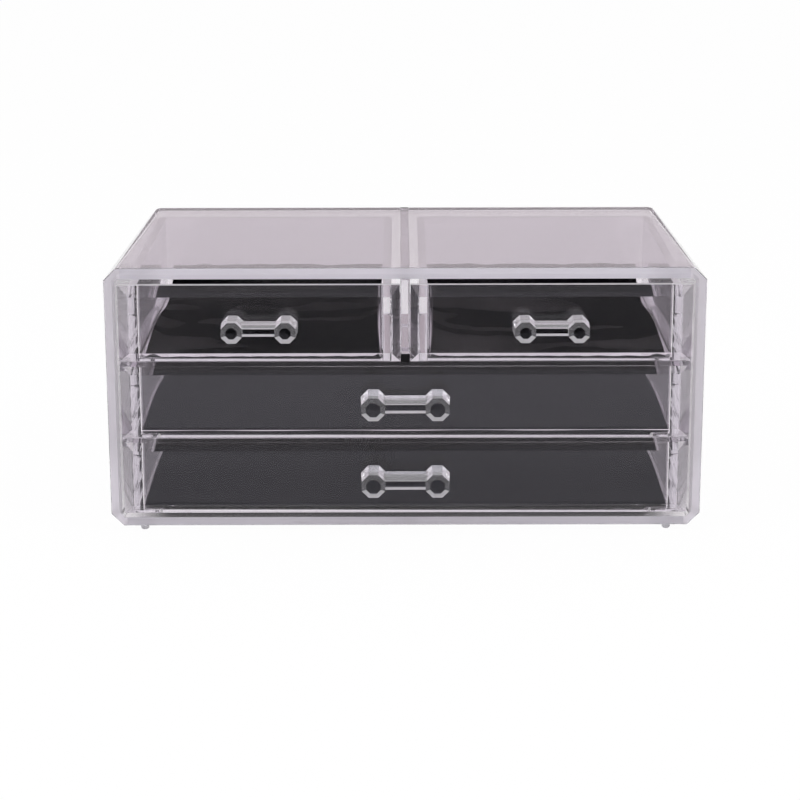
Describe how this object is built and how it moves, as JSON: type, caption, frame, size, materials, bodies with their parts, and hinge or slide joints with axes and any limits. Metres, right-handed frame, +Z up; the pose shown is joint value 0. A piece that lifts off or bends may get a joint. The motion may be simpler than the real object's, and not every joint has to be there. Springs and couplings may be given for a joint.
{
  "type": "makeup organizer",
  "caption": "Clear moulded countertop organizer: an octagonal, tapered casing with wide drawers under a pair of small ones, faceted pull handles and black liners.",
  "frame": {"origin": "bottom centre of the bounding box of the organizer with all drawers shut, on the surface under the feet", "axes": "+X across the width to the right as seen from the front, +Y from the drawer fronts to the back, +Z up"},
  "size_m": [0.24, 0.148, 0.1096],
  "materials": {
    "clear": "clear moulded polystyrene, polished",
    "crystal": "clear moulded plastic, faceted and polished",
    "pad": "black soft pad",
    "bumper": "translucent soft bumper",
    "liner_gloss": "glossy black sheet",
    "liner_satin": "satin charcoal sheet"
  },
  "bodies": {
    "casing": {"casing_shell": "clear", "upper_shelf": "clear", "lower_shelf": "clear", "centre_divider": "clear", "divider_front_pad": "pad", "divider_back_pad": "pad", "foot_front_left": "bumper", "foot_front_right": "bumper", "foot_back_left": "bumper", "foot_back_right": "bumper"},
    "drawer_bottom": {"drawer_tray_bottom": "clear", "handle_bottom": "crystal", "liner_bottom": "liner_satin"},
    "drawer_middle": {"drawer_tray_middle": "clear", "handle_middle": "crystal", "liner_middle": "liner_satin"},
    "drawer_top_left": {"drawer_tray_top_left": "clear", "handle_top_left": "crystal", "liner_top_left": "liner_gloss"},
    "drawer_top_right": {"drawer_tray_top_right": "clear", "handle_top_right": "crystal", "liner_top_right": "liner_gloss"}
  },
  "joints": [
    {"name": "bottom_drawer_slide", "type": "slide", "parent": "casing", "child": "drawer_bottom", "axis": [0, -1, 0], "range_m": [0, 0.105]},
    {"name": "middle_drawer_slide", "type": "slide", "parent": "casing", "child": "drawer_middle", "axis": [0, -1, 0], "range_m": [0, 0.105]},
    {"name": "top_left_drawer_slide", "type": "slide", "parent": "casing", "child": "drawer_top_left", "axis": [0, -1, 0], "range_m": [0, 0.105]},
    {"name": "top_right_drawer_slide", "type": "slide", "parent": "casing", "child": "drawer_top_right", "axis": [0, -1, 0], "range_m": [0, 0.105]}
  ]
}
